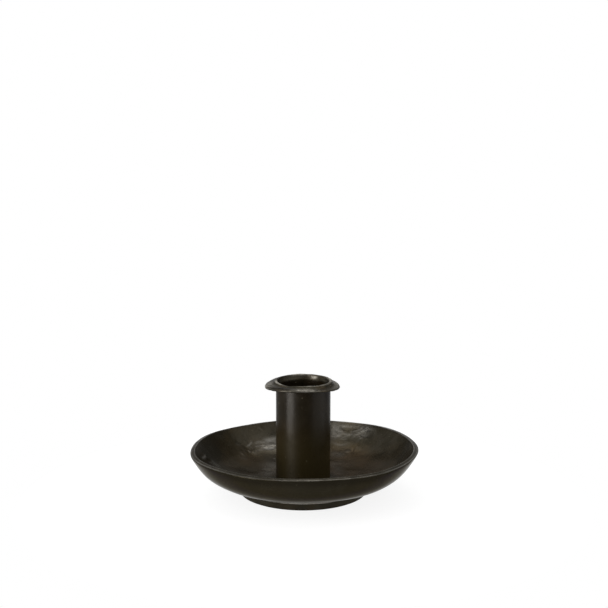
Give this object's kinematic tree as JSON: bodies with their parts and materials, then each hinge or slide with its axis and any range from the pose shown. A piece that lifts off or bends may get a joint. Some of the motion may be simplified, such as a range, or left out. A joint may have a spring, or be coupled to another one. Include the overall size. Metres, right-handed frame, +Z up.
{
  "type": "candlestick",
  "caption": "Low saucer candlestick: hand-formed dark metal dish with a wavy bevelled rim, a turned foot and a plain tube socket topped by a hand-forged drip collar.",
  "frame": {"origin": "on the table under the centre of the box, which is the foot's axis to within half a millimetre", "axes": "+Z up along the socket's axis, -Y towards the front of the picture, +X to its right"},
  "size_m": [0.106, 0.1061, 0.0531],
  "materials": {
    "dish_metal": "hand-formed, brown-black waxed patina, satin with rubbed edges",
    "foot_metal": "turned, brown-black waxed patina, satin",
    "felt": "pressed wool felt",
    "tube_metal": "smooth drawn tube, brown-black waxed patina, satin",
    "collar_metal": "forged, rubbed patina, satin",
    "seat_metal": "turned, dark",
    "screw_steel": "zinc-plated steel",
    "washer_steel": "zinc-plated steel"
  },
  "bodies": {
    "root": {"dish": "dish_metal", "foot_ring": "foot_metal", "felt_ring": "felt", "socket_tube": "tube_metal", "drip_collar": "collar_metal", "candle_seat": "seat_metal", "fixing_screw": "screw_steel", "washer": "washer_steel"}
  },
  "joints": []
}
